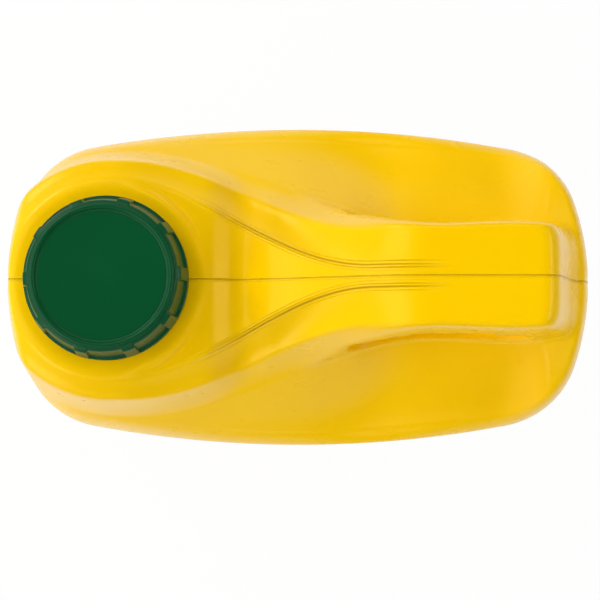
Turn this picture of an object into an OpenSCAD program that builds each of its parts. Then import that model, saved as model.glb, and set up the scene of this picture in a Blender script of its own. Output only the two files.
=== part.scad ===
// Five litre jerrycan for liquid chemicals: an oval blow-moulded body with an
// integral hollow handle, and a screw cap with a tamper band and a foam liner.
// Millimetres. The origin is the middle of the base, +Z is up, and the neck is
// at the -X end. The mould's parting plane is y = 0.

/* [Body] */
// Length of the body, front to rear
body_l = 223; // [212:1:240]
// Width of the body, side to side
body_w = 125; // [116:1:136]
// Height of the handle's top above the ground
body_h = 286; // [280:1:300]
// Wall thickness of the moulding
wall = 1.4; // [1.2:0.1:2]
// Depth below the handle's top where the upright walls turn into the shoulder
wall_in = 93; // [90:1:110]
// Plan radius of the long sides
side_r = 440; // [360:10:600]
// Plan radius of the front and rear ends
end_r = 112; // [106:2:130]
// Plan radius of the four corners
corner_r = 33; // [28:1:38]
// Rounding of the edge round the base
base_r = 12; // [8:1:16]
// Rise of the hollow base above the foot ring
base_lift = 3; // [2:0.5:5]
// Width of the foot ring
foot_w = 7; // [5:1:10]

/* [Shoulder] */
// Depth of the shoulder behind the handle, below the handle's top
rear_in = 46; // [40:1:50]
// Roll of the shoulder's edge along the sides, measured inwards
side_roll = 5; // [4:0.5:7]
// Roll of the shoulder's edge at the ends, measured inwards
end_roll = 6; // [5:0.5:8]
// Fall of the scoops towards the side walls, per millimetre
scoop_fall = 1.35; // [1.2:0.05:1.45]
// Fall of the floor beside the handle, per millimetre
floor_fall = 0.82; // [0.7:0.02:0.9]

/* [Label Panels] */
// Depth of the recessed panels on the two long sides
panel_depth = 0.8; // [0.5:0.1:1.2]
// Height of the panels' lower edge
panel_z0 = 26; // [22:1:40]
// Distance of the panels' upper edge below the top of the upright walls
panel_in = 23; // [19:1:40]
// Width of the bevel round a panel
panel_bevel = 3; // [2:0.5:4]

/* [Handle] */
// Width of the handle's flat top
grip_w = 35; // [32:0.5:38]
// Distance from the edge of the top to the upright side of the handle
grip_roll = 3; // [2.5:0.25:4]
// Widening of the handle's top towards its rear, on each side
grip_flare = 1.2; // [0:0.2:2]
// Thickness of the handle, top to underside
grip_t = 27; // [24:0.5:30]
// Depth of the floor beside the handle, below the handle's top
floor_in = 60; // [56:1:64]
// Distance of the handle's rounded rear edge from the rear of the body
grip_rear = 25.5; // [24:0.5:28]
// Rounding of the handle's rear edge
end_round = 7; // [5:0.5:8]
// Slope of the handle's rear face, in degrees
end_slope = 76; // [74:1:79]
// Distance from the rear of the body to where the ridge has narrowed to the handle
grip_l = 87.5; // [86:0.5:90]
// Length of the finger hole at its middle height
hole_l = 68; // [64:1:70]
// Distance of the finger hole's rear end from the rear of the body
hole_rear = 25.5; // [25:0.5:28]
// Rounding under the handle's edges
hole_round = 6; // [4:0.5:8]

/* [Sweeping Ribbons] */
// Radius of the inner line where it rounds the neck
line_c_r = 37; // [36:0.5:38]
// Radius of the ribbon's edge where it rounds the neck
line_b_r = 44.4; // [43:0.2:46]
// Radius of the scoop's edge where it rounds the neck
line_a_r = 51; // [50:0.5:53]
// Half width that the inner lines close to on the handle
line_c_end = 3.4; // [2.5:0.1:5]
// Height of the step along the inner line
line_step = 0.9; // [0.4:0.1:1.2]
// Fall of the ribbon towards its edge, per millimetre
ribbon_fall = 0.7; // [0.5:0.05:0.9]
// Depth of the dip between the neck and the ramp
dip = 5; // [3:0.5:6]

/* [Neck] */
// Distance of the neck's axis from the front of the body
neck_in = 41; // [40:0.5:44]
// Depth of the collar round the neck, below the handle's top
collar_in = 29; // [26:0.5:32]
// Radius of the collar
collar_r = 36.25; // [35.5:0.25:36.5]
// Height that the collar stands above the shoulder
collar_stand = 0.4; // [0.3:0.1:1]
// Plain land of the neck above its thread
rim_land = 0.344; // [0.3:0.004:0.8]
// Bore of the neck
bore_d = 42.6; // [41:0.2:43.4]
// Outside diameter of the neck between the threads
neck_d = 48; // [47.4:0.1:48.4]
// Outside diameter over the thread
thread_d = 51; // [50.6:0.1:51.4]
// Rise of the thread in one turn
pitch = 6; // [5.5:0.25:6.5]
// Turns of thread on the neck and in the cap
turns = 1.25; // [1:0.05:1.35]
// Outside diameter of the bead that holds the tamper band
bead_d = 52; // [51.6:0.1:52.4]
// Height of that bead's middle above the collar
bead_up = 5.3; // [5:0.1:5.6]

/* [Cap] */
// Diameter over the ten ribs at the foot of the cap
cap_d = 60.6; // [60:0.1:61.4]
// Height of the cap's foot above the middle of the neck's bead
foot_up = 1.9; // [1.8:0.1:2.3]
// Outside diameter of the skirt between the ribs, at its foot
skirt_d = 57.4; // [57:0.1:58]
// Diameter at the middle of the raised bead on the top
rim_d = 49.6; // [48.6:0.1:50.4]
// Height of that bead
rim_h = 0.8; // [0.5:0.1:1.2]
// Thickness of the cap's top
cap_t = 1.6; // [1.2:0.1:1.8]
// Number of ribs
rib_n = 10; // [8:1:14]
// Width of a rib
rib_w = 5.4; // [4:0.1:6]
// Clearance between the two threads
thread_gap = 0.35; // [0.3:0.05:0.45]
// Thickness of the foam liner
liner_t = 1.0; // [0.8:0.1:1.1]

/* [Tamper Band] */
// Outside diameter of the band
band_d = 59.8; // [59:0.1:60.2]
// Height of the band
band_h = 5; // [4.4:0.1:5.2]
// Gap between the cap and the band
band_gap = 0.4; // [0.3:0.05:0.6]
// Number of bridges left from the moulding
bridge_n = 20; // [10:1:30]

/* [Hidden] */
yellow = "#fad005";
green = "#004d26";
foam = "#f2f2ee";

neck_x = neck_in - body_l / 2;
rear_x = body_l / 2;
collar_h = body_h - collar_in;
rear_h = body_h - rear_in;
floor_h = body_h - floor_in;
wall_top = body_h - wall_in;
panel_z1 = wall_top - panel_in;
grip_x0 = rear_x - grip_l;
grip_end = rear_x - grip_rear;
hole_x1 = rear_x - hole_rear;
hole_x0 = hole_x1 - hole_l;
hole_top = body_h - grip_t;
grip_half = grip_w / 2;
grip_side = grip_half + grip_roll;

// Facets of the moulding
end_steps = 2;
corner_steps = 10;
side_steps = 9;
neck_facets = 44;

function clamp(t) = max(0, min(1, t));
function ease(t) = (1 - cos(180 * clamp(t))) / 2;
function mix(a, b, t) = a + (b - a) * t;
function bump(t) = ease(1 - abs(t));
function over(a, b, k) = max(a, b) + max(0, k - abs(a - b)) ^ 2 / (4 * k);

// Plan of the body: an oval of side, end and corner arcs, tangent to each other
side_cy = body_w / 2 - side_r;
end_cx = body_l / 2 - end_r;
side_arm = side_r - corner_r;
end_arm = end_r - corner_r;
arc_span = norm([end_cx, side_cy]);
arc_u = [end_cx, -side_cy] / arc_span;
arc_along = (side_arm ^ 2 - end_arm ^ 2 + arc_span ^ 2) / (2 * arc_span);
arc_off = sqrt(side_arm ^ 2 - arc_along ^ 2);
corner_cx = arc_along * arc_u[0] + arc_off * arc_u[1];
corner_cy = side_cy + arc_along * arc_u[1] - arc_off * arc_u[0];
end_turn = atan2(corner_cy, corner_cx - end_cx);
side_turn = atan2(corner_cy - side_cy, corner_cx);

function arc_point(c, r, a) = [c[0] + r * cos(a), c[1] + r * sin(a)];

// Point of the plan that faces the direction a (0 rear, 90 side), moved in by t
function quarter_plan(a, t) =
    a < end_turn ? arc_point([end_cx, 0], end_r - t, a)
    : a < side_turn ? arc_point([corner_cx, corner_cy], corner_r - t, a)
    : arc_point([0, side_cy], side_r - t, a);
function plan(a, t) =
    a <= 90 ? quarter_plan(a, t)
    : [-quarter_plan(180 - a, t)[0], quarter_plan(180 - a, t)[1]];

quarter_dirs = concat(
    [for (k = [0 : end_steps - 1]) mix(0, end_turn, k / end_steps)],
    [for (k = [0 : corner_steps - 1]) mix(end_turn, side_turn, k / corner_steps)],
    [for (k = [0 : side_steps]) mix(side_turn, 90, k / side_steps)]
);
quarter_n = len(quarter_dirs) - 1;
// Directions of the stations, from the front tip over the side to the rear tip
dirs = concat(
    [for (k = [0 : quarter_n]) 180 - quarter_dirs[k]],
    [for (k = [1 : quarter_n]) quarter_dirs[quarter_n - k]]
);
last = len(dirs) - 1;
ring_n = 2 * last;

// The three sweeping lines: round the neck in front, then an S to the handle
function sweep(x, r, end_y, x0, x1) =
    x < neck_x ? sqrt(max(0, r ^ 2 - (x - neck_x) ^ 2))
    : mix(r, end_y, ease((x - x0) / (x1 - x0)));
function line_c(x) = sweep(x, line_c_r, line_c_end, neck_x + 2, grip_x0 + 2);
function line_b(x) = sweep(x, line_b_r, grip_half - 0.4, neck_x + 7, grip_x0 + 6) + widen(x);
function line_a(x) = sweep(x, line_a_r, grip_side, neck_x + 4, grip_x0 + 30) + widen(x);
function widen(x) = grip_flare * ease((x - grip_x0 - 22) / 40);

// Heights along the length: the ramp from the neck up to the handle
ramp_x0 = neck_x + 50;
ramp_x1 = grip_x0 + 21;
dip_x = neck_x + 48;
dip_half = 13;
function to_handle(x) = ease((x - ramp_x0) / (ramp_x1 - ramp_x0));
function spine_z(x) =
    mix(collar_h - collar_stand, body_h, to_handle(x)) - dip * bump((x - dip_x) / dip_half);

// Foot of the flank, where the scoop begins: low by the neck, then the handle's floor
foot_front = collar_h - 38;
foot_mid = collar_h - 24;
foot_x0 = neck_x + 25;
foot_l = 55;
floor_x0 = grip_x0 - 9;
floor_l = 25;
function foot_z(x) =
    mix(
        mix(foot_front, foot_mid, ease((x - foot_x0) / foot_l)),
        floor_h,
        ease((x - floor_x0) / floor_l)
    );

// Surface across the top: spine, ribbon, flank and scoop, for y >= 0
spine_fall = 0.15;
spine_round = 4;
spine_l = 30;
flute = 1.6;
step_x0 = neck_x + 30;
step_x1 = grip_x0 + 23;
step_fade = 30;
flank_x0 = grip_x0 - 29;
flank_flute = 1.3;
roll_pow = 2.5;
turn_l = 40;
rim_over_wall = 3;
rim_blend = 16;
function step_at(x) = line_step * ease((x - step_x0) / step_fade) * ease((step_x1 - x) / step_fade);
function ribbon_z(x, y) =
    let (
        c = line_c(x),
        flat = 1 - to_handle(x),
        span = max(0.5, line_b(x) - c),
        q = clamp((y - c) / span)
    )
    spine_z(x)
    - spine_fall * flat * ease((x - neck_x) / spine_l) * (norm([y, spine_round]) - spine_round)
    - (y > c ? step_at(x) : 0)
    - ribbon_fall * flat * span * (1 - (1 - q) ^ flute);
function flank_z(x, y) =
    let (
        b = line_b(x),
        q = clamp((y - b) / (line_a(x) - b)),
        fluted = 1 - (1 - q) ^ flank_flute,
        rolled = 1 - (1 - q ^ roll_pow) ^ (1 / roll_pow)
    )
    mix(ribbon_z(x, b), foot_z(x), mix(fluted, rolled, ease((x - flank_x0) / turn_l)));
function scoop_z(x, y) =
    let (fall = mix(scoop_fall, floor_fall, ease((x - floor_x0) / turn_l)))
    over(foot_z(x) - fall * (y - line_a(x)), wall_top + rim_over_wall, rim_blend);
function front_z(x, y) =
    y <= line_b(x) ? ribbon_z(x, y)
    : y <= line_a(x) ? flank_z(x, y)
    : scoop_z(x, y);

// The shoulder behind the handle: 0 in front of it, 1 on it. The handle ends in a
// rounded edge and a steep face, and the scoops rise to the shoulder in a curved wall
rear_crown = 0.008;
scoop_rise = 30;
scoop_end = rear_x - 14.5;
scoop_pow = 1.8;
post_fillet = 3;
post_reach = 5;
face_fillet = 0.25;
corner_in = 2.5;
function rear_z(y) = rear_h - rear_crown * y * y;
function face_drop(t) =
    let (turn = end_round * sin(end_slope))
    t <= 0 ? 0
    : t < turn ? end_round - sqrt(end_round ^ 2 - t ^ 2)
    : end_round * (1 - cos(end_slope)) + (t - turn) * tan(end_slope);
function handle_end(x, y) =
    let (t = x - grip_end + corner_in * min(1, y / line_b(x)) ^ 6)
    -over(-face_drop(t) / (body_h - rear_h), -1, face_fillet);
function scoop_wall(x, y) =
    let (near = post_fillet * exp(-max(0, y - line_a(x)) / post_reach))
    ease(clamp((x - scoop_end + scoop_rise + near) / scoop_rise) ^ scoop_pow);
function behind(x, y) =
    let (b = line_b(x), q = ease((y - b) / (line_a(x) - b)))
    mix(handle_end(x, y), scoop_wall(x, y), q);

// Height of the outer skin: in front of the neck's axis it is turned about that axis
function section_z(x, y) = mix(front_z(x, y), rear_z(y), behind(x, y));
function top_z(x, y) =
    x < neck_x ? section_z(neck_x, norm([x - neck_x, y])) : section_z(x, abs(y));

// The same surface one wall further in: the lowest of its shifted copies
lateral = [for (k = [0 : 7]) [cos(45 * k), sin(45 * k)]];
function inner_z(x, y, w) = min(
    top_z(x, y) - w,
    min([for (d = lateral) top_z(x + w * d[0], y + w * d[1])]),
    min([for (d = lateral) top_z(x + 0.7 * w * d[0], y + 0.7 * w * d[1])]) - 0.7 * w
);
function skin_z(x, y, w) = w == 0 ? top_z(x, y) : inner_z(x, y, w);

// Recess of the label panels, for the direction a and the height z
function on_panel(a) = ease((min(a, 180 - a) - side_turn - 0.6) / 0.9);
function in_panel(a, z) =
    panel_depth * on_panel(a)
    * ease((z - panel_z0) / panel_bevel) * ease((panel_z1 - z) / panel_bevel);

// One ring of a skin: its inset and its height at each station
function ring(inset, height) = [
    for (s = [0 : ring_n - 1])
        let (a = dirs[s <= last ? s : ring_n - s], p = plan(a, inset(a)))
        [p[0], s <= last ? p[1] : -p[1], height(a, p)]
];
function level_ring(t, z, w) = ring(function (a) t + w + in_panel(a, z), function (a, p) z);
function roll_ring(phi, w) = ring(
    function (a) w + (roll(a) - w) * (1 - cos(phi)),
    function (a, p) wall_top + (skin_z(p[0], p[1], w) - wall_top) * sin(phi)
);
function roll(a) = mix(side_roll, end_roll, cos(a) ^ 2);

// Places across the top where a row has its points, from the spine outwards
function row_places(x, y_rim, w) =
    let (
        c = min(line_c(x), 0.76 * y_rim),
        b = min(line_b(x) - w, 0.87 * y_rim),
        a = min(line_a(x) - w, 0.95 * y_rim)
    )
    [
        0, 0.5 * c, each w > 0 ? [c] : [c - 0.02 * y_rim, c + 0.01 * y_rim],
        mix(c, b, 0.5), b, mix(b, a, 0.25), mix(b, a, 0.5), mix(b, a, 0.75), a,
        mix(a, y_rim, 0.3), mix(a, y_rim, 0.65)
    ];

function row(s, w) =
    let (
        edge = plan(dirs[s], roll(dirs[s])),
        x = edge[0],
        places = row_places(x, edge[1], w),
        n = len(places) - 1
    )
    concat(
        [for (k = [n : -1 : 0]) [x, places[k], skin_z(x, places[k], w)]],
        [for (k = [1 : n]) [x, -places[k], skin_z(x, places[k], w)]]
    );

// Rings of a skin from the hollow base to the shoulder's inner edge
function base_ring(phi, w) =
    level_ring((base_r - w) * (1 - sin(phi)), w + (base_r - w) * (1 - cos(phi)), w);
function outer_rings() = [
    level_ring(base_r + foot_w + 3 * base_lift, base_lift, 0),
    level_ring(base_r + foot_w, 0, 0),
    for (phi = [0, 35, 65, 90]) base_ring(phi, 0),
    for (z = [panel_z0, panel_z0 + panel_bevel, panel_z1 - panel_bevel, panel_z1])
        level_ring(0, z, 0),
    for (phi = [0, 22, 45, 67, 90]) roll_ring(phi, 0)
];
function inner_rings(w) = [
    level_ring(base_r + foot_w + 3 * base_lift, base_lift + w, 0),
    level_ring(base_r + foot_w, w, 0),
    for (phi = [0, 45, 90]) base_ring(phi, w),
    level_ring(panel_depth, panel_z0, w),
    level_ring(panel_depth, panel_z1, w),
    for (phi = [0, 30, 60, 90]) roll_ring(phi, w)
];

// A closed skin of the moulding, w inside the outer face
module skin(w) {
    levels = w > 0 ? inner_rings(w) : outer_rings();
    rows = [for (s = [1 : last - 1]) row(s, w)];
    row_len = len(rows[0]);
    top = len(levels) - 1;
    points = concat(
        [[0, 0, base_lift + w]],
        [for (level = levels) each level],
        [for (r = rows) each r]
    );
    function ring_at(k, s) = 1 + k * ring_n + (s % ring_n);
    // Point k of row s, where the last ring gives a row's two outer points
    function top_at(s, k) =
        s == 0 || s == last || k < 0 ? ring_at(top, s)
        : k >= row_len ? ring_at(top, ring_n - s)
        : 1 + (top + 1) * ring_n + (s - 1) * row_len + k;
    faces = concat(
        [for (s = [0 : ring_n - 1]) [0, ring_at(0, s + 1), ring_at(0, s)]],
        [for (k = [0 : top - 1], s = [0 : ring_n - 1])
            each [
                [ring_at(k, s), ring_at(k + 1, s + 1), ring_at(k + 1, s)],
                [ring_at(k, s), ring_at(k, s + 1), ring_at(k + 1, s + 1)]
            ]],
        [for (s = [1 : last - 2], k = [-1 : row_len - 1])
            each [
                [top_at(s, k), top_at(s + 1, k + 1), top_at(s, k + 1)],
                [top_at(s, k), top_at(s + 1, k), top_at(s + 1, k + 1)]
            ]],
        [for (k = [-1 : row_len - 1]) [top_at(0, 0), top_at(1, k), top_at(1, k + 1)]],
        [for (k = [-1 : row_len - 1])
            [top_at(last, 0), top_at(last - 1, k + 1), top_at(last - 1, k)]]
    );
    polyhedron(points = points, faces = faces, convexity = 10);
}

// The finger hole, an oval right through the ridge that opens under its edges
hole_lip = 1;
hole_cx = (hole_x0 + hole_x1) / 2;
hole_cz = (floor_h + hole_lip + hole_top) / 2;
hole_a = hole_l / 2;
hole_b = (hole_top - floor_h - hole_lip) / 2;
hole_pow = 3;
hole_over = 2;
hole_reach = line_a(hole_x0) + hole_over;
hole_turns = [0 : 15 : 345];
function hole_slice(y, grow, flare) = [
    for (a = hole_turns)
        [
            hole_cx + (hole_a + grow + 0.6 * flare) * sign(cos(a)) * abs(cos(a)) ^ (2 / hole_pow),
            y,
            hole_cz + (hole_b + grow + (sin(a) > 0 ? flare : 0))
                * sign(sin(a)) * abs(sin(a)) ^ (2 / hole_pow)
        ]
];
function flare_at(y) =
    let (d = max(0, abs(y) - grip_side + hole_round))
    hole_round - sqrt(max(0, hole_round ^ 2 - min(d, 0.97 * hole_round) ^ 2));
module finger_hole(grow) {
    edge = grip_side - hole_round;
    places = [0, edge, edge + 0.35 * hole_round, edge + 0.65 * hole_round,
        edge + 0.86 * hole_round, edge + hole_round, hole_reach + grow];
    for (side = [-1, 1], k = [0 : len(places) - 2]) {
        near = hole_slice(side * places[k], grow, flare_at(places[k]));
        far = hole_slice(side * places[k + 1], grow, flare_at(places[k + 1]));
        hull()
            polyhedron(points = concat(near, far), faces = [
                [for (i = [0 : len(near) - 1]) i],
                [for (i = [0 : len(far) - 1]) len(near) + i]
            ]);
    }
}

// A screw thread as one swept solid, with its ends run out
function thread_ring(a, z, r_root, r_crest, fade, half) = [
    for (c = [[r_root, -half], [mix(r_root, r_crest, fade), -0.45 * half],
              [mix(r_root, r_crest, fade), 0.45 * half], [r_root, half]])
        [c[0] * cos(a), c[0] * sin(a), z + c[1]]
];
module thread(r_root, r_crest, z0, facets) {
    steps = round(turns * facets);
    points = [
        for (k = [0 : steps])
            each thread_ring(360 * k / facets, z0 + pitch * k / facets, r_root, r_crest,
                clamp(0.04 + 6 * min(k, steps - k) / facets), thread_half)
    ];
    inward = r_crest < r_root;
    walls = [
        for (k = [0 : steps - 1], c = [0 : 3])
            let (d = (c + 1) % 4)
            each [
                [4 * k + c, 4 * k + d, 4 * k + 4 + d],
                [4 * k + c, 4 * k + 4 + d, 4 * k + 4 + c]
            ]
    ];
    ends = [[3, 2, 1, 0], [4 * steps, 4 * steps + 1, 4 * steps + 2, 4 * steps + 3]];
    faces = concat(walls, ends);
    polyhedron(points = points,
        faces = inward ? [for (f = faces) [for (k = [len(f) - 1 : -1 : 0]) f[k]]] : faces,
        convexity = 6);
}

// Neck and collar, turned about the neck's axis
collar_drop = 9;
collar_round = 3;
neck_foot = 2.3;
bead_h = 2.8;
bead_z = collar_h + bead_up;
thread_half = 0.26 * pitch;
// The neck's thread starts where the cap's, half a pitch lower, clears the bead
thread_over_bead = 2.1;
thread_z0 = bead_z + 0.57 * bead_h + pitch / 2 + thread_over_bead;
neck_h = thread_z0 + turns * pitch + thread_half + rim_land;
module neck_outside() {
    rotate_extrude($fn = neck_facets)
        polygon(concat(
            [[0, collar_h - collar_drop], [collar_r, collar_h - collar_drop]],
            [for (a = [0 : 30 : 90])
                [collar_r - collar_round + collar_round * cos(a),
                 collar_h - collar_round + collar_round * sin(a)]],
            [[neck_d / 2 + 2, collar_h + 0.3], [neck_d / 2, collar_h + neck_foot],
             [neck_d / 2, bead_z - 0.43 * bead_h], [bead_d / 2, bead_z - 0.14 * bead_h],
             [bead_d / 2, bead_z], [neck_d / 2, bead_z + 0.57 * bead_h],
             [neck_d / 2, neck_h - 1], [neck_d / 2 - 0.8, neck_h], [0, neck_h]]
        ));
}
module bore() {
    translate([0, 0, collar_h - collar_drop - 1])
        cylinder(d = bore_d, h = neck_h - collar_h + collar_drop + 2, $fn = neck_facets);
}

module body() {
    color(yellow)
        difference() {
            union() {
                skin(0);
                translate([neck_x, 0, 0]) {
                    neck_outside();
                    thread(neck_d / 2 - 0.5, thread_d / 2, thread_z0, neck_facets);
                }
            }
            finger_hole(0);
            difference() {
                union() {
                    skin(wall);
                    translate([neck_x, 0, 0]) bore();
                }
                finger_hole(wall);
            }
        }
}

// Cap: skirt with ribs, top with a raised bead, and the inner thread
seal_gap = 0.15;
liner_gap = 0.05;
cap_z1 = neck_h + seal_gap + liner_t + liner_gap + cap_t + rim_h;
cap_z0 = bead_z + foot_up;
deck_z = cap_z1 - rim_h;
skirt_bore = thread_d / 2 + thread_gap;
top_r = skirt_d / 2 - 1.6;
module cap_shell() {
    foot_h = 2.4;
    rotate_extrude($fn = 96)
        difference() {
            union() {
                polygon([
                    [0, cap_z0], [band_d / 2, cap_z0], [band_d / 2, cap_z0 + 0.6 * foot_h],
                    [skirt_d / 2, cap_z0 + foot_h], [top_r, cap_z1 - 2.2],
                    [top_r - 0.6, cap_z1 - 1], [top_r - 1.8, deck_z], [0, deck_z]
                ]);
                translate([rim_d / 2, deck_z - 0.3]) circle(r = rim_h + 0.3, $fn = 32);
            }
            polygon([
                [0, cap_z0 - 1], [skirt_bore, cap_z0 - 1], [skirt_bore, deck_z - cap_t - 0.6],
                [skirt_bore - 0.6, deck_z - cap_t], [0, deck_z - cap_t]
            ]);
        }
}
rib_start = 2;
module rib() {
    rotate([90, 0, 90])
        linear_extrude(cap_d)
            polygon([
                [-rib_w / 2, cap_z0 + 0.2], [rib_w / 2, cap_z0 + 0.2],
                [0.42 * rib_w, cap_z1 - 1.4], [-0.42 * rib_w, cap_z1 - 1.4]
            ]);
}
module cap_ribs() {
    intersection() {
        for (k = [0 : rib_n - 1])
            rotate([0, 0, rib_start + 360 * k / rib_n]) rib();
        rotate_extrude($fn = 96)
            polygon([
                [skirt_bore + 0.5, cap_z0], [cap_d / 2, cap_z0],
                [top_r + 1.1, cap_z1 - 1.8], [top_r - 0.4, cap_z1 - 1.2],
                [skirt_bore + 0.5, cap_z1 - 1.2]
            ]);
    }
}
module cap() {
    color(green)
        translate([neck_x, 0, 0])
            union() {
                cap_shell();
                cap_ribs();
                thread(skirt_bore + 0.4, neck_d / 2 + thread_gap, thread_z0 - pitch / 2, 48);
            }
}

// Tamper band, held under the bead by its inner lip
band_z1 = cap_z0 - band_gap;
band_z0 = band_z1 - band_h;
module tamper_band() {
    lip_r = bead_d / 2 - 0.7;
    bore_r = bead_d / 2 + 0.3;
    color(green)
        translate([neck_x, 0, 0]) {
            rotate_extrude($fn = 96)
                polygon([
                    [bore_r, band_z1], [bore_r, bead_z - 1.4], [lip_r, bead_z - 1.8],
                    [lip_r, bead_z - 2.4], [bore_r + 0.6, band_z0], [band_d / 2, band_z0],
                    [band_d / 2, band_z1]
                ]);
            for (k = [0 : bridge_n - 1])
                rotate([0, 0, 360 * k / bridge_n])
                    translate([band_d / 2 - 0.9, -0.4, band_z1 - 0.1])
                        cube([0.6, 0.8, band_gap]);
        }
}

// Foam liner in the top of the cap
module seal_liner() {
    color(foam)
        translate([neck_x, 0, neck_h + seal_gap])
            cylinder(r = skirt_bore - 1, h = liner_t, $fn = 96);
}

body();
cap();
tamper_band();
seal_liner();
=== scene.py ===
"""Looks of a five litre chemical jerrycan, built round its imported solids.

The body is worked out in millimetres as one field that is negative inside the
plastic, meshed, and set down on the field's surface. The neck, cap, band and
liner are turned shapes. Everything is in the solids' own frame.
"""

import math

import bpy
import numpy as np
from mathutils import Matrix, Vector


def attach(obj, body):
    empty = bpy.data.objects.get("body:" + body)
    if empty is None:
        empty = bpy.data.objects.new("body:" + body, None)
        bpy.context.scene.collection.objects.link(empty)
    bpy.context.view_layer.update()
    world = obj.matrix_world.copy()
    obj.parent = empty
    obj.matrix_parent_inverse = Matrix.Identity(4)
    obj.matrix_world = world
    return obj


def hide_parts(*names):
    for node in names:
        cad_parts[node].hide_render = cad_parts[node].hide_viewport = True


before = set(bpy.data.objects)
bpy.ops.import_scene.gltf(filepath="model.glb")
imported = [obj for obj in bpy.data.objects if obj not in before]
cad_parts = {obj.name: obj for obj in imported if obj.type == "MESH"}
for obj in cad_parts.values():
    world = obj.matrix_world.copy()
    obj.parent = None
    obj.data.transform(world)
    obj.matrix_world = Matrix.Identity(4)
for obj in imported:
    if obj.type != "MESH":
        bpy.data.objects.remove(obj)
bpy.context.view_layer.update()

MM = 0.001

# Sizes in millimetres, as in the part's source
BODY_L, BODY_W, BODY_H = 223.0, 125.0, 286.0
WALL, WALL_TOP = 1.4, 193.0
SIDE_R, END_R, CORNER_R = 440.0, 112.0, 33.0
BASE_R, BASE_LIFT, FOOT_W = 12.0, 3.0, 7.0
REAR_H, SIDE_ROLL, END_ROLL = 240.0, 5.0, 6.0
SCOOP_FALL, FLOOR_FALL = 1.35, 0.82
PANEL_DEPTH, PANEL_Z0, PANEL_Z1, PANEL_BEVEL = 0.8, 26.0, 170.0, 3.0
GRIP_W, GRIP_ROLL, GRIP_T, FLOOR_H = 35.0, 3.0, 27.0, 226.0
GRIP_REAR, END_ROUND, END_SLOPE, GRIP_FLARE = 25.5, 7.0, 76.0, 1.2
GRIP_L, HOLE_L, HOLE_REAR, HOLE_ROUND, HOLE_LIP = 87.5, 68.0, 25.5, 4.5, 1.0
LINE_C_R, LINE_B_R, LINE_A_R, LINE_C_END = 37.0, 44.4, 51.0, 3.4
LINE_STEP, RIBBON_FALL, DIP = 0.9, 0.7, 5.0
NECK_IN, COLLAR_H, COLLAR_R, COLLAR_STAND = 41.0, 257.0, 36.25, 0.4
NECK_H, BORE_D, NECK_D, THREAD_D = 278.4, 42.6, 48.0, 51.0
PITCH, TURNS, BEAD_D, BEAD_Z, BEAD_H = 6.0, 1.25, 52.0, 262.3, 2.8
CAP_D, CAP_H, SKIRT_D, RIM_D, RIM_H = 60.6, 17.8, 57.4, 49.6, 0.8
CAP_T, RIB_N, RIB_W, RIB_TURN = 1.6, 10, 5.4, 2.0
THREAD_GAP, LINER_T, SEAL_GAP, LINER_GAP = 0.35, 1.0, 0.15, 0.05
BAND_D, BAND_H, BAND_GAP, BRIDGE_N = 59.8, 5.0, 0.4, 20

NECK_X = NECK_IN - BODY_L / 2
REAR_X = BODY_L / 2
GRIP_X0 = REAR_X - GRIP_L
GRIP_END = REAR_X - GRIP_REAR
HOLE_X1 = REAR_X - HOLE_REAR
HOLE_X0 = HOLE_X1 - HOLE_L
HOLE_TOP = BODY_H - GRIP_T
GRIP_HALF = GRIP_W / 2
GRIP_SIDE = GRIP_HALF + GRIP_ROLL

# Plan of the body: an oval of side, end and corner arcs
SIDE_CY = BODY_W / 2 - SIDE_R
END_CX = BODY_L / 2 - END_R
SIDE_ARM, END_ARM = SIDE_R - CORNER_R, END_R - CORNER_R
ARC_SPAN = math.hypot(END_CX, SIDE_CY)
ARC_ALONG = (SIDE_ARM**2 - END_ARM**2 + ARC_SPAN**2) / (2 * ARC_SPAN)
ARC_OFF = math.sqrt(SIDE_ARM**2 - ARC_ALONG**2)
CORNER_CX = (ARC_ALONG * END_CX - ARC_OFF * SIDE_CY) / ARC_SPAN
CORNER_CY = SIDE_CY + (-ARC_ALONG * SIDE_CY - ARC_OFF * END_CX) / ARC_SPAN
END_TURN = math.atan2(CORNER_CY, CORNER_CX - END_CX)
SIDE_TURN = math.atan2(CORNER_CY - SIDE_CY, CORNER_CX)


def ease(t):
    """0 to 1 along half a cosine wave."""
    return (1 - np.cos(np.pi * np.clip(t, 0, 1))) / 2


def mix(a, b, t):
    return a + (b - a) * t


def bump(t):
    """1 in the middle and 0 at -1 and 1."""
    return ease(1 - np.abs(t))


def over(a, b, k):
    """The larger of two heights, with a rounded change from one to the other."""
    return np.maximum(a, b) + np.maximum(0, k - np.abs(a - b)) ** 2 / (4 * k)


def plan(x, y):
    """Inset from the plan oval, and the outward direction there, for any point."""
    ax, ay = np.abs(x), np.abs(y)
    ex, sy = ax - END_CX, ay - SIDE_CY
    kx, ky = ax - CORNER_CX, ay - CORNER_CY
    on_end = np.arctan2(ay, ex) < END_TURN
    on_side = np.arctan2(sy, ax) > SIDE_TURN
    vx = np.where(on_end, ex, np.where(on_side, ax + 0 * ay, kx + 0 * ay))
    vy = np.where(on_end, ay + 0 * ax, np.where(on_side, sy + 0 * ax, ky + 0 * ax))
    r = np.where(on_end, END_R, np.where(on_side, SIDE_R, CORNER_R))
    d = np.hypot(vx, vy)
    return r - d, np.sign(x) * vx / d, np.sign(y) * vy / d


# The three sweeping lines, and the heights along and across the top
def sweep(x, r, end_y, x0, x1):
    """Half width of a line: a ring round the neck in front, then an S to the handle."""
    ring = np.sqrt(np.maximum(0, r * r - (x - NECK_X) ** 2))
    return np.where(x < NECK_X, ring, mix(r, end_y, ease((x - x0) / (x1 - x0))))


def line_c(x):
    return sweep(x, LINE_C_R, LINE_C_END, NECK_X + 2, GRIP_X0 + 2)


def flare(x):
    return GRIP_FLARE * ease((x - GRIP_X0 - 22) / 40)


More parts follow.
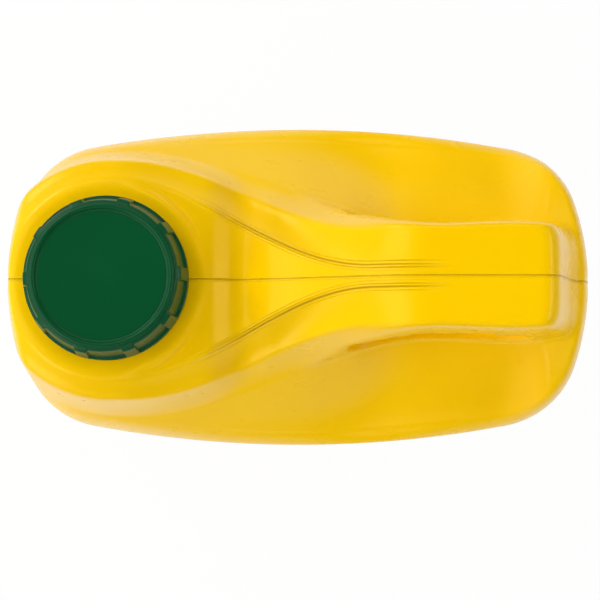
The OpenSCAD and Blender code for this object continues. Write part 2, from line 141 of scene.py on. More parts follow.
def line_b(x):
    return sweep(x, LINE_B_R, GRIP_HALF - 0.4, NECK_X + 7, GRIP_X0 + 6) + flare(x)


def line_a(x):
    return sweep(x, LINE_A_R, GRIP_SIDE, NECK_X + 4, GRIP_X0 + 30) + flare(x)


RAMP_X0, RAMP_X1 = NECK_X + 50, GRIP_X0 + 21
DIP_X, DIP_HALF = NECK_X + 48, 13.0
FOOT_FRONT, FOOT_MID, FOOT_X0, FOOT_L = COLLAR_H - 38, COLLAR_H - 24, NECK_X + 25, 55.0
FLOOR_X0, FLOOR_L = GRIP_X0 - 9, 25.0
SPINE_FALL, SPINE_ROUND, SPINE_L = 0.15, 4.0, 30.0
STEP_X0, STEP_X1, STEP_FADE = NECK_X + 30, GRIP_X0 + 23, 30.0
FLANK_X0, TURN_L = GRIP_X0 - 29, 40.0
REAR_CROWN, RIM_OVER_WALL, RIM_BLEND = 0.008, 3.0, 16.0
SCOOP_RISE, SCOOP_END, SCOOP_POWER = 30.0, REAR_X - 14.5, 1.8
POST_FILLET, POST_REACH, FACE_FILLET, CORNER_IN = 3.0, 5.0, 0.25, 2.5
FLUTE, FLANK_FLUTE, ROLL_POWER = 1.6, 1.3, 2.5


def to_handle(x):
    return ease((x - RAMP_X0) / (RAMP_X1 - RAMP_X0))


def spine_z(x):
    """Height along the middle: collar, dip behind it, ramp and handle."""
    ramp = mix(COLLAR_H - COLLAR_STAND, BODY_H, to_handle(x))
    return ramp - DIP * bump((x - DIP_X) / DIP_HALF)


def foot_z(x):
    """Height at the outer line, where the flank ends and the scoop starts."""
    front = mix(FOOT_FRONT, FOOT_MID, ease((x - FOOT_X0) / FOOT_L))
    return mix(front, FLOOR_H, ease((x - FLOOR_X0) / FLOOR_L))


def step_at(x):
    """Depth of the small step at the inner line."""
    return (
        LINE_STEP
        * ease((x - STEP_X0) / STEP_FADE)
        * ease((STEP_X1 - x) / STEP_FADE)
    )


def ribbon_z(x, y):
    """Spine and ribbon; the ribbon is a shallow flute, steepest at the inner line."""
    c, b, flat = line_c(x), line_b(x), 1 - to_handle(x)
    wide = np.maximum(0.5, b - c)
    q = np.clip((y - c) / wide, 0, 1)
    drop = RIBBON_FALL * flat * wide * (1 - (1 - q) ** FLUTE)
    crown = SPINE_FALL * flat * ease((x - NECK_X) / SPINE_L)
    crown = crown * (np.hypot(y, SPINE_ROUND) - SPINE_ROUND)
    return spine_z(x) - crown - np.where(y > c, step_at(x), 0) - drop


def scoop_z(x, y):
    """Scoop and floor outside the outer line, easing out above the side walls."""
    a = line_a(x)
    fall = mix(SCOOP_FALL, FLOOR_FALL, ease((x - FLOOR_X0) / TURN_L))
    return over(foot_z(x) - fall * (y - a), WALL_TOP + RIM_OVER_WALL, RIM_BLEND)


def handle_end(x, y, b):
    """Rounded edge and steep face behind the handle: 0 in front of it, 1 below it."""
    t = np.maximum(0, x - GRIP_END + CORNER_IN * np.minimum(1, y / b) ** 6)
    turn, lean = math.radians(END_SLOPE), END_ROUND * math.sin(math.radians(END_SLOPE))
    edge = END_ROUND - np.sqrt(END_ROUND**2 - np.minimum(t, lean) ** 2)
    drop = edge + np.maximum(0, t - lean) * math.tan(turn)
    return -over(-drop / (BODY_H - REAR_H), -1, FACE_FILLET)


def scoop_wall(x, y, a):
    """0 in the scoop and 1 on the shoulder behind it."""
    near = POST_FILLET * np.exp(-np.maximum(0, y - a) / POST_REACH)
    t = np.clip((x - SCOOP_END + SCOOP_RISE + near) / SCOOP_RISE, 0, 1)
    return ease(t**SCOOP_POWER)


def top_z(x, y):
    """Height of the top; in front of the neck it depends on the radius alone."""
    y = np.abs(y)
    round_neck = x < NECK_X
    y = np.where(round_neck, np.hypot(x - NECK_X, y), y)
    x = np.where(round_neck, NECK_X, x)
    b, a = line_b(x), line_a(x)
    q = np.clip((y - b) / (a - b), 0, 1)
    steep = ease((x - FLANK_X0) / TURN_L)
    fluted = 1 - (1 - q) ** FLANK_FLUTE
    rolled = 1 - (1 - q**ROLL_POWER) ** (1 / ROLL_POWER)
    flank = mix(ribbon_z(x, b), foot_z(x), mix(fluted, rolled, steep))
    front = np.where(y <= b, ribbon_z(x, y), np.where(y <= a, flank, scoop_z(x, y)))
    rear = REAR_H - REAR_CROWN * y * y
    return mix(front, rear, mix(handle_end(x, y, b), scoop_wall(x, y, a), ease((y - b) / (a - b))))


class HeightMap:
    """A height function sampled on a fine grid, blurred, and read back smoothly."""

    def __init__(self, height, step, blur):
        self.step = step
        self.x0, self.y0 = -REAR_X - 6, -BODY_W / 2 - 6
        nx = int((2 * -self.x0) / step) + 1
        ny = int((2 * -self.y0) / step) + 1
        x = self.x0 + step * np.arange(nx)
        y = self.y0 + step * np.arange(ny)
        z = height(x[:, None], y[None, :])
        reach = int(3 * blur / step) + 1
        k = np.exp(-((np.arange(-reach, reach + 1) * step / blur) ** 2) / 2)
        k /= k.sum()
        z = np.pad(z, reach, mode="edge")
        z = sum(w * z[i : i + nx, :] for i, w in enumerate(k))
        self.z = sum(w * z[:, i : i + ny] for i, w in enumerate(k))

    def __call__(self, x, y):
        """Bicubic reading."""
        u = np.clip((x - self.x0) / self.step, 1.001, self.z.shape[0] - 3.001)
        v = np.clip((y - self.y0) / self.step, 1.001, self.z.shape[1] - 3.001)
        i, j = u.astype(int), v.astype(int)
        s, t = u - i, v - j

        def weights(t):
            return (
                ((2 - t) * t - 1) * t / 2,
                ((3 * t - 5) * t * t + 2) / 2,
                ((4 - 3 * t) * t + 1) * t / 2,
                (t - 1) * t * t / 2,
            )

        ws, wt = weights(s), weights(t)
        return sum(
            ws[p] * wt[q] * self.z[i + p - 1, j + q - 1] for p in range(4) for q in range(4)
        )


def union_round(a, b, r):
    """Both fields together, with a fillet of radius r between them."""
    return np.maximum(r, np.minimum(a, b)) - np.hypot(
        np.maximum(r - a, 0), np.maximum(r - b, 0)
    )


def cut_round(a, b, r):
    """What both fields hold, with an edge of radius r."""
    return np.minimum(-r, np.maximum(a, b)) + np.hypot(
        np.maximum(r + a, 0), np.maximum(r + b, 0)
    )


TOP = HeightMap(top_z, 0.4, 0.6)
SEAM_H, SEAM_W, SEAM_TROUGH = 0.25, 0.3, 2.4
RIM_IN, RIM_GROOVE, RIM_WIDE = 4.6, 0.4, 0.9
RIM_END, RIM_FADE_FRONT, RIM_FADE_REAR = 72.0, 30.0, 25.0
COLLAR_ROUND, COLLAR_BLEND = 3.0, 1.6
BORE_FOOT_Z = 240.0


def seam(y):
    """A fine ridge in a broad shallow trough, so that it stays within the body's box."""
    return SEAM_H * (np.exp(-((y / SEAM_W) ** 2)) - np.exp(-((y / SEAM_TROUGH) ** 2)))


def moulding(x, y, z):
    """Field of the moulded body without its neck: below nought inside, about in mm."""
    inset, nx, ny = plan(x, y)
    top = TOP(x + 0 * y, y + 0 * x)
    roll = mix(SIDE_ROLL, END_ROLL, nx**2)
    a = np.maximum(0, 1 - inset / roll)
    b = np.maximum(0, (z - WALL_TOP) / (top - WALL_TOP))
    s = np.sqrt(a * a + b * b) + 1e-9
    body = (s - 1) / np.hypot(a / (s * roll), b / (s * (top - WALL_TOP)) + 1e-6)
    u = (x - (HOLE_X0 + HOLE_X1) / 2) / (HOLE_L / 2)
    hole_b = (HOLE_TOP - FLOOR_H - HOLE_LIP) / 2
    v = (z - (FLOOR_H + HOLE_LIP + HOLE_TOP) / 2) / hole_b
    s = np.cbrt(np.abs(u) ** 3 + np.abs(v) ** 3) + 1e-6
    hole = (s - 1) * s * s / (np.hypot(u * u / (HOLE_L / 2), v * v / hole_b) + 1e-6)
    body = cut_round(body, -hole, HOLE_ROUND)
    r = np.hypot(x - NECK_X, y)
    cu, cv = r - COLLAR_R + COLLAR_ROUND, z - COLLAR_H + COLLAR_ROUND
    collar = np.minimum(np.maximum(cu, cv), 0) + np.hypot(
        np.maximum(cu, 0), np.maximum(cv, 0)
    ) - COLLAR_ROUND
    return union_round(body, collar, COLLAR_BLEND)


def rim_groove(x, y):
    """Shallow line along the shoulders, just inside the side walls."""
    inset = plan(x, y)[0]
    along = ease((x + RIM_END) / RIM_FADE_FRONT) * ease((RIM_END - x) / RIM_FADE_REAR)
    return RIM_GROOVE * along * np.exp(-(((inset - RIM_IN) / RIM_WIDE) ** 2))


def outer(x, y, z):
    return moulding(x, y, z) - seam(y) + rim_groove(x, y) * (z > WALL_TOP)


def inner(x, y, z):
    """Field of the hollow; its bore is a little wide, so that the neck's own shows."""
    bore = np.hypot(x - NECK_X, y) - BORE_D / 2 - WALL / 2
    return np.minimum(
        np.maximum(moulding(x, y, z) + WALL, WALL + BASE_LIFT - z),
        np.maximum(bore, BORE_FOOT_Z - z),
    )


def surface_net(field, xs, ys, zs):
    """Points and quads of the surface where field is nought, one point a cell."""
    f = field(xs[:, None, None], ys[None, :, None], zs[None, None, :])
    f = np.ascontiguousarray(np.broadcast_to(f, (len(xs), len(ys), len(zs))))
    inside = f < 0
    n = [len(xs) - 1, len(ys) - 1, len(zs) - 1]
    count = sum(
        inside[i : n[0] + i, j : n[1] + j, k : n[2] + k].astype(np.int8)
        for i in (0, 1) for j in (0, 1) for k in (0, 1)
    )
    cells = np.argwhere((count > 0) & (count < 8))
    ids = -np.ones(n, dtype=int)
    ids[tuple(cells.T)] = np.arange(len(cells))
    axes = (xs, ys, zs)
    total, hits = np.zeros((len(cells), 3)), np.zeros(len(cells))
    for axis in range(3):
        others = [k for k in range(3) if k != axis]
        for p in (0, 1):
            for q in (0, 1):
                lo = cells.copy()
                lo[:, others[0]] += p
                lo[:, others[1]] += q
                hi = lo.copy()
                hi[:, axis] += 1
                fa, fb = f[tuple(lo.T)], f[tuple(hi.T)]
                cross = (fa < 0) != (fb < 0)
                t = np.where(cross, fa / np.where(cross, fa - fb, 1), 0)
                point = np.stack([axes[k][lo[:, k]] for k in range(3)], 1)
                point[:, axis] += t * (axes[axis][hi[:, axis]] - axes[axis][lo[:, axis]])
                total[cross] += point[cross]
                hits[cross] += 1
    points = total / hits[:, None]
    quads = []
    for axis in range(3):
        a, b = (axis + 1) % 3, (axis + 2) % 3
        low = [slice(None)] * 3
        high = [slice(None)] * 3
        low[axis], high[axis] = slice(0, -1), slice(1, None)
        change = inside[tuple(low)] != inside[tuple(high)]
        at = np.argwhere(change)
        keep = (at[:, a] > 0) & (at[:, a] < n[a]) & (at[:, b] > 0) & (at[:, b] < n[b])
        at = at[keep]
        ring = []
        for da, db in ((-1, -1), (0, -1), (0, 0), (-1, 0)):
            c = at.copy()
            c[:, a] += da
            c[:, b] += db
            ring.append(ids[tuple(c.T)])
        quad = np.stack(ring, 1)
        starts_inside = inside[tuple(at.T)]
        quad[~starts_inside] = quad[~starts_inside][:, ::-1]
        quads.append(quad)
    return points, np.concatenate(quads)


def settle(points, field, rounds=4, reach=0.7):
    """Moves points along the field's slope until they lie on its surface."""
    p = points.copy()
    e = 0.04
    for _ in range(rounds):
        x, y, z = p.T
        f = field(x, y, z)
        g = np.stack(
            [
                field(x + e, y, z) - field(x - e, y, z),
                field(x, y + e, z) - field(x, y - e, z),
                field(x, y, z + e) - field(x, y, z - e),
            ],
            1,
        ) / (2 * e)
        size = np.maximum(np.sum(g * g, 1), 0.05)
        step = -f[:, None] * g / size[:, None]
        far = np.linalg.norm(step, axis=1)
        p += step * np.minimum(1, reach / np.maximum(far, 1e-9))[:, None]
    return p


def mesh_object(name, points, faces, material, body, nodes, sharp=None):
    """A piece of the scene from points in millimetres; edges past sharp degrees stay sharp."""
    mesh = bpy.data.meshes.new(name)
    mesh.from_pydata((np.asarray(points) * MM).tolist(), [], [list(f) for f in faces])
    mesh.validate()
    mesh.shade_smooth()
    if sharp:
        mesh.set_sharp_from_angle(angle=math.radians(sharp))
    mesh.materials.append(material)
    obj = bpy.data.objects.new(name, mesh)
    bpy.context.scene.collection.objects.link(obj)
    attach(obj, body)
    if nodes:
        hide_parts(*nodes)
    return obj


# Materials
def linear(r, g, b):
    """Scene colour of a display colour."""

    def one(c):
        c /= 255
        return c / 12.92 if c <= 0.04045 else ((c + 0.055) / 1.055) ** 2.4

    return (one(r), one(g), one(b), 1)


# Fine lines of the body's surface, in millimetres: half widths and offsets
LINE_BEAD, LINE_GUTTER, LINE_GUTTER_OFF, LINE_INSIDE_OFF = 0.7, 0.9, 1.3, -1.2
LINE_X0, LINE_X0_FULL, LINE_X1_FULL, LINE_X1 = -45.0, -20.0, 35.0, 58.0
LINE_Z0, LINE_Z1 = 235.0, 245.0
PARTING, CREST, CREST_OFF = 0.32, 0.3, -0.62
# The last is how far painted shade darkens the colour along the parting line
LINE_RELIEF, PARTING_RELIEF, PARTING_PAINTED_SHADE = 0.55, 0.3, 0.45


def line_marks(nodes, links, place):
    """Relief of the parting line and of the inner ribbon lines, and where the parting
    line is, all worked out from the place on the body."""

    def maths(kind, a, b=0.0):
        n = nodes.new("ShaderNodeMath")
        n.operation = kind
        for socket, value in zip(n.inputs, (a, b)):
            if isinstance(value, float):
                socket.default_value = value
            else:
                links.new(value, socket)
        return n.outputs[0]

    def fade(value, lo, hi):
        n = nodes.new("ShaderNodeMapRange")
        n.interpolation_type = "SMOOTHSTEP"
        n.inputs["From Min"].default_value = lo
        n.inputs["From Max"].default_value = hi
        links.new(value, n.inputs["Value"])
        return n.outputs["Result"]

    def ridge(value, middle, half):
        off = maths("ABSOLUTE", maths("SUBTRACT", value, middle))
        return fade(off, half, half * 0.25)

    split = nodes.new("ShaderNodeSeparateXYZ")
    links.new(place.outputs["Object"], split.inputs[0])
    x, z = split.outputs["X"], split.outputs["Z"]
    y = maths("ABSOLUTE", split.outputs["Y"])
    along = nodes.new("ShaderNodeMapRange")
    along.inputs["From Min"].default_value = (NECK_X + 2) * MM
    along.inputs["From Max"].default_value = (GRIP_X0 + 2) * MM
    along.inputs["To Max"].default_value = math.pi
    links.new(x, along.inputs["Value"])
    turn = maths("COSINE", along.outputs["Result"])
    half_gap = (LINE_C_R - LINE_C_END) / 2 * MM
    line = maths("ADD", maths("MULTIPLY", turn, half_gap), (LINE_C_R + LINE_C_END) / 2 * MM)
    off = maths("SUBTRACT", y, line)
    bead = ridge(off, 0.0, LINE_BEAD * MM)
    gutter = ridge(off, LINE_GUTTER_OFF * MM, LINE_GUTTER * MM)
    inside = ridge(off, LINE_INSIDE_OFF * MM, LINE_BEAD * MM)
    mark = maths("SUBTRACT", bead, maths("ADD", gutter, maths("MULTIPLY", inside, 0.5)))
    front, rear = fade(x, LINE_X0 * MM, LINE_X0_FULL * MM), fade(x, LINE_X1 * MM, LINE_X1_FULL * MM)
    here = maths("MULTIPLY", maths("MULTIPLY", front, rear), fade(z, LINE_Z0 * MM, LINE_Z1 * MM))
    mark = maths("MULTIPLY", maths("MULTIPLY", mark, here), LINE_RELIEF)
    parting = ridge(y, 0.0, PARTING * MM)
    crest = ridge(split.outputs["Y"], CREST_OFF * MM, CREST * MM)
    seam_mark = maths("SUBTRACT", maths("MULTIPLY", crest, 0.5), parting)
    return maths("ADD", mark, maths("MULTIPLY", seam_mark, PARTING_RELIEF)), parting


def plastic(name, colour, shade, rough, grain, grain_mm, gloss=0.5, tint=None, moulded=False):
    """A plastic whose colour and roughness drift, with a fine grain of a depth and a size
    in millimetres; a moulded one has the body's fine lines as well."""
    mat = bpy.data.materials.new(name)
    mat.use_nodes = True
    nodes, links = mat.node_tree.nodes, mat.node_tree.links
    shader = nodes["Principled BSDF"]
    place = nodes.new("ShaderNodeTexCoord")

    def noise(scale, detail):
        n = nodes.new("ShaderNodeTexNoise")
        n.inputs["Scale"].default_value = scale
        n.inputs["Detail"].default_value = detail
        links.new(place.outputs["Object"], n.inputs["Vector"])
        return n

    cloud = noise(18, 3)
    ramp = nodes.new("ShaderNodeValToRGB")
    ramp.color_ramp.elements[0].position = 0.3
    ramp.color_ramp.elements[0].color = shade
    ramp.color_ramp.elements[1].position = 0.7
    ramp.color_ramp.elements[1].color = colour
    links.new(cloud.outputs["Fac"], ramp.inputs["Fac"])
    links.new(ramp.outputs["Color"], shader.inputs["Base Color"])
    rub = noise(90, 4)
    spread = nodes.new("ShaderNodeMapRange")
    spread.inputs["To Min"].default_value = rough - 0.04
    spread.inputs["To Max"].default_value = rough + 0.05
    links.new(rub.outputs["Fac"], spread.inputs["Value"])
    links.new(spread.outputs["Result"], shader.inputs["Roughness"])
    skin = noise(1 / (grain_mm * MM), 2)
    relief = nodes.new("ShaderNodeBump")
    relief.inputs["Strength"].default_value = 1.0
    relief.inputs["Distance"].default_value = grain * MM
    links.new(skin.outputs["Fac"], relief.inputs["Height"])
    if moulded:
        height, parting = line_marks(nodes, links, place)
        lines = nodes.new("ShaderNodeBump")
        lines.inputs["Strength"].default_value = 1.0
        lines.inputs["Distance"].default_value = MM
        links.new(height, lines.inputs["Height"])
        links.new(lines.outputs["Normal"], relief.inputs["Normal"])
        # Painted shade: along the parting line the colour is mixed towards a darker amber, standing
        # in for the shade in the line's groove
        parting_painted_shade = nodes.new("ShaderNodeMix")
        parting_painted_shade.data_type = "RGBA"
        parting_painted_shade.inputs["B"].default_value = linear(176, 122, 0)
        weight = nodes.new("ShaderNodeMath")
        weight.operation = "MULTIPLY"
        weight.inputs[1].default_value = PARTING_PAINTED_SHADE
        links.new(parting, weight.inputs[0])
        links.new(weight.outputs[0], parting_painted_shade.inputs["Factor"])
        links.new(ramp.outputs["Color"], parting_painted_shade.inputs["A"])
        links.new(parting_painted_shade.outputs["Result"], shader.inputs["Base Color"])
    links.new(relief.outputs["Normal"], shader.inputs["Normal"])
    shader.inputs["IOR"].default_value = 1.5
    shader.inputs["Specular IOR Level"].default_value = gloss
    if tint:
        shader.inputs["Specular Tint"].default_value = tint
    return mat


YELLOW = plastic(
    "yellow_polyethylene", linear(252, 202, 0), linear(249, 197, 0), 0.28, 0.008, 0.9,
    gloss=0.26, tint=(1, 0.9, 0.3, 1), moulded=True,
)
GREEN = plastic(
    "green_polyethylene", linear(0, 76, 38), linear(0, 71, 35), 0.36, 0.005, 0.5, gloss=0.15
)
FOAM = plastic("liner_foam", linear(240, 240, 235), linear(228, 228, 222), 0.75, 0.05, 0.4)


# Moulded body
def span(*parts):
    """One rising list of grid places from (from, to, step) parts."""
    out = [parts[0][0]]
    for lo, hi, step in parts:
        n = max(1, round((hi - lo) / step))
        out += [lo + (hi - lo) * k / n for k in range(1, n + 1)]
    return np.array(out)


FINE = 1.1
CUT_Z = WALL_TOP - 3
NECK_FOOT_R, NECK_FOOT_Z = 22.6, 250.0
PANEL_TURN, PANEL_FADE = math.radians(0.6), math.radians(0.9)
half_y = [0.175, 0.525, 0.9, 1.5, 2.3] + list(np.arange(3.2, BODY_W / 2 + 2, FINE))
ys = np.array([-v for v in half_y[::-1]] + half_y)
xs = span((-REAR_X - 1.5, REAR_X + 1.5, FINE))
zs = span((CUT_Z - 0.5, CUT_Z + 0.5, 1.0), (CUT_Z + 0.5, BODY_H + 1.5, FINE))
top_points, top_quads = surface_net(outer, xs, ys, zs)
rim = np.abs(top_points[:, 2] - CUT_Z) < 0.01
top_points = settle(top_points, outer)
top_points[rim, 2] = CUT_Z
middle = top_points[top_quads].mean(axis=1)
off_axis = np.hypot(middle[:, 0] - NECK_X, middle[:, 1])
under_neck = (off_axis < NECK_FOOT_R) & (middle[:, 2] > NECK_FOOT_Z)
top_quads = top_quads[~under_neck]


def open_loop(quads, wanted):
    """The open edges whose two ends are both wanted, as one closed run of points."""
    edges = {}
    for q in quads[np.any(wanted[quads], axis=1)]:
        for a, b in zip(q, np.roll(q, -1)):
            if (b, a) in edges:
                del edges[(b, a)]
            else:
                edges[(a, b)] = 1
    after = {a: b for a, b in edges if wanted[a] and wanted[b]}
    start = next(iter(after))
    run, at = [start], after[start]
    while at != start:
        run.append(at)
        at = after[at]
    return run


# The walls and the base hang from the top's open rim as rings of (inset, z, panel share)
rim_run = open_loop(top_quads, rim)
rim_at = top_points[rim_run][:, :2]
_, out_x, out_y = plan(rim_at[:, 0], rim_at[:, 1])
away = np.arctan2(np.abs(out_y), np.abs(out_x))
on_panel = ease((away - SIDE_TURN - PANEL_TURN) / PANEL_FADE)
levels = [(0, z, 0) for z in span((PANEL_Z1 + 1, CUT_Z, 10))[::-1][1:]]
levels += [(0, PANEL_Z1 - PANEL_BEVEL * k / 6, ease(k / 6)) for k in range(7)]
levels += [
    (0, z, 1) for z in span((PANEL_Z0 + PANEL_BEVEL, PANEL_Z1 - PANEL_BEVEL, 15))[::-1][1:]
]
levels += [(0, PANEL_Z0 + PANEL_BEVEL * (1 - k / 6), ease(1 - k / 6)) for k in range(1, 7)]
for k in range(11):
    phi = math.radians(90 - 9 * k)
    levels.append((BASE_R * (1 - math.sin(phi)), BASE_R * (1 - math.cos(phi)), 0))
levels.append((BASE_R + FOOT_W, 0, 0))
for k in range(1, 9):
    levels.append((BASE_R + FOOT_W + 3 * BASE_LIFT * k / 8, BASE_LIFT * float(ease(k / 8)), 0))

points = [top_points]
faces = [top_quads]
count, ring_n = len(top_points), len(rim_run)
last_ring = np.array(rim_run)
for inset, z, panel in levels:
    t = inset + panel * PANEL_DEPTH * on_panel
    ring = np.stack([rim_at[:, 0] - out_x * t, rim_at[:, 1] - out_y * t, 0 * t + z], 1)
    this_ring = count + np.arange(ring_n)
    points.append(ring)
    count += ring_n
    faces.append(
        np.stack([last_ring, this_ring, np.roll(this_ring, -1), np.roll(last_ring, -1)], 1)
    )
    last_ring = this_ring
face_list = [list(f) for f in np.concatenate(faces)] + [list(last_ring[::-1])]
mesh_object(
    "can_shell", np.concatenate(points), face_list, YELLOW, "can", ["body"]
)

# Inside of the can, seen through the open neck
BORE_TOP_Z = NECK_H - 1.2
in_points, in_quads = surface_net(
    inner,
    span((-REAR_X, REAR_X, 3.5)),
    span((-BODY_W / 2, BODY_W / 2, 3.5)),
    span((1, 230, 6), (230, BORE_TOP_Z, 3.2)),
)
in_points = settle(in_points, inner, 4, 1.5)
in_points[:, 2] = np.clip(in_points[:, 2], BASE_LIFT + WALL, BORE_TOP_Z)
mesh_object("can_inside", in_points, in_quads[:, ::-1], YELLOW, "can", [])


# Turned shapes
def lathe(profile, turns, radius=None):
    """Turns a closed profile of (r, z) about the neck's axis; radius(r, z, a) may alter r."""
    turns = np.asarray(turns)
    n, m = len(profile), len(turns)
    points = []
    for r, z in profile:
        rr = np.full(m, float(r)) if radius is None else radius(r, z, turns)
        points.append(
            np.stack([NECK_X + rr * np.cos(turns), rr * np.sin(turns), np.full(m, float(z))], 1)
        )
    faces = []
    for k in range(n):
        j = (k + 1) % n
        for s in range(m):
            t = (s + 1) % m
            faces.append((k * m + s, k * m + t, j * m + t, j * m + s))
    return np.concatenate(points), faces


def arc(cr, cz, r, a0, a1, n):
    """Profile points on an arc about (cr, cz), from a0 to a1 degrees in n steps."""
    return [
        (cr + r * math.cos(math.radians(a0 + (a1 - a0) * k / n)),
         cz + r * math.sin(math.radians(a0 + (a1 - a0) * k / n)))
        for k in range(n + 1)
    ]


def screw(r_root, r_crest, z0, per_turn=120):
    """A rounded thread as one swept ring of sections with run-out ends."""
    steps = round(TURNS * per_turn)
    half = 0.26 * PITCH
    shape = [(0, -1), (0.55, -0.72), (0.9, -0.45), (1, -0.25), (1, 0.25), (0.9, 0.45),
             (0.55, 0.72), (0, 1)]
    points = []
    for k in range(steps + 1):
        a = 2 * math.pi * k / per_turn
        fade = float(ease(0.02 + 7 * min(k, steps - k) / per_turn))
        for d, h in shape:
            r = mix(r_root, r_crest, d * fade)
            points.append(
                (NECK_X + r * math.cos(a), r * math.sin(a),
                 z0 + PITCH * k / per_turn + h * half)
            )
    n = len(shape)
    faces = []
    for k in range(steps):
        for c in range(n):
            d = (c + 1) % n
            faces.append((n * k + c, n * (k + 1) + c, n * (k + 1) + d, n * k + d))
    faces.append(tuple(range(n)))
    faces.append(tuple(n * steps + c for c in reversed(range(n))))
    return points, faces


def joined(*parts):
    """Several (points, faces) as one."""
    points, faces, base = [], [], 0
    for p, f in parts:
        points.append(np.asarray(p))
        faces += [tuple(base + i for i in q) for q in f]
        base += len(p)
    return np.concatenate(points), faces


TURN = np.linspace(0, 2 * math.pi, 180, endpoint=False)
BEAD_OVER, BEAD_UNDER, THREAD_OVER_BEAD = 0.57, 0.43, 2.1
THREAD_Z0 = BEAD_Z + BEAD_OVER * BEAD_H + PITCH / 2 + THREAD_OVER_BEAD
nr = NECK_D / 2
neck_profile = (
    [(BORE_D / 2, COLLAR_H - 3), (nr, COLLAR_H - 3)]
    + [(nr + 0.5, COLLAR_H - 0.4)]
    + arc(nr + 1.8, COLLAR_H + 1.4, 1.8, 240, 180, 5)
    + [(nr, BEAD_Z - BEAD_UNDER * BEAD_H)]
    + arc(BEAD_D / 2 - 0.5, BEAD_Z - 0.1, 0.5, -60, 60, 6)
    + [(nr, BEAD_Z + BEAD_OVER * BEAD_H), (nr, NECK_H - 1.0)]
    + arc(nr - 0.8, NECK_H - 0.8, 0.8, 15, 90, 5)
    + arc(BORE_D / 2 + 0.5, NECK_H - 0.5, 0.5, 90, 180, 4)
)
neck = joined(
    lathe(neck_profile, TURN), screw(nr - 0.4, THREAD_D / 2, THREAD_Z0)
)
mesh_object("neck", neck[0], neck[1], YELLOW, "can", [], sharp=50)

# Cap: skirt, ribs, raised bead and inner thread
CAP_Z1 = NECK_H + SEAL_GAP + LINER_T + LINER_GAP + CAP_T + RIM_H
CAP_Z0 = CAP_Z1 - CAP_H
DECK_Z = CAP_Z1 - RIM_H
SKIRT_BORE = THREAD_D / 2 + THREAD_GAP
TOP_R = SKIRT_D / 2 - 1.6
RIB_STEP, RIB_HALF = 2 * math.pi / RIB_N, RIB_W / CAP_D
RIB_EDGE, RIB_FLANK = 0.008, 0.022


def rib_share(a):
    """1 on a rib and 0 between ribs."""
    off = (a - math.radians(RIB_TURN) + RIB_STEP / 2) % RIB_STEP - RIB_STEP / 2
    return ease((RIB_HALF + RIB_EDGE - np.abs(off)) / RIB_FLANK)


def cap_radius(r, z, a):
    """Ribs stand out from the skirt, full at the foot and fading over the shoulder."""
    if r < TOP_R - 1.0 or z < CAP_Z0 + 1e-6:
        return np.full(len(a), float(r))
    up = (z - CAP_Z0) / (CAP_Z1 - CAP_Z0)
    rib_r = mix(CAP_D / 2 - 0.2, TOP_R + 0.9, up)
    fade = float(ease((CAP_Z1 - 0.9 - z) / 1.6))
    return mix(np.full(len(a), float(r)), np.maximum(r, rib_r), fade * rib_share(a))


# Angles of one rib and the gap after it, close together at the rib's flanks
local = np.concatenate(
    [
        np.linspace(-RIB_HALF - 0.016, -RIB_HALF + 0.010, 7),
        np.linspace(-RIB_HALF + 0.03, RIB_HALF - 0.03, 5),
        np.linspace(RIB_HALF - 0.010, RIB_HALF + 0.016, 7),
        np.linspace(RIB_HALF + 0.04, RIB_STEP - RIB_HALF - 0.04, 15),
    ]
)
rib_turns = [math.radians(RIB_TURN) + RIB_STEP * k + local for k in range(RIB_N)]
cap_turns = np.concatenate(rib_turns)
cap_profile = (
    [(SKIRT_BORE, CAP_Z0 + 0.3), (SKIRT_BORE + 0.4, CAP_Z0), (BAND_D / 2 - 0.25, CAP_Z0),
     (BAND_D / 2, CAP_Z0 + 0.25), (BAND_D / 2, CAP_Z0 + 1.3)]
    + arc(BAND_D / 2 - 0.35, CAP_Z0 + 1.3, 0.35, 0, 80, 3)
    + [(SKIRT_D / 2 + 0.25, CAP_Z0 + 1.85), (SKIRT_D / 2, CAP_Z0 + 2.2)]
    + [(mix(SKIRT_D / 2, TOP_R + 0.1, k / 10), mix(CAP_Z0 + 2.6, CAP_Z1 - 2.6, k / 10))
       for k in range(11)]
    + arc(TOP_R - 1.7, DECK_Z - 1.8, 1.8, 5, 90, 8)
    + [(RIM_D / 2 + 1.0, DECK_Z)]
    + arc(RIM_D / 2, DECK_Z - 0.25, RIM_H + 0.25, 20, 160, 10)
    + [(RIM_D / 2 - 1.5, DECK_Z), (RIM_D / 2 - 1.75, DECK_Z - 0.18), (RIM_D / 2 - 2.0, DECK_Z)]
    + [(16, DECK_Z), (8, DECK_Z), (0.01, DECK_Z)]
    + [(0.01, DECK_Z - CAP_T), (SKIRT_BORE - 0.6, DECK_Z - CAP_T),
       (SKIRT_BORE, DECK_Z - CAP_T - 0.6)]
)
cap = joined(
    lathe(cap_profile, cap_turns, radius=cap_radius),
    screw(SKIRT_BORE + 0.2, NECK_D / 2 + THREAD_GAP, THREAD_Z0 - PITCH / 2),
)
mesh_object("screw_cap", cap[0], cap[1], GREEN, "closure", ["cap"], sharp=35)

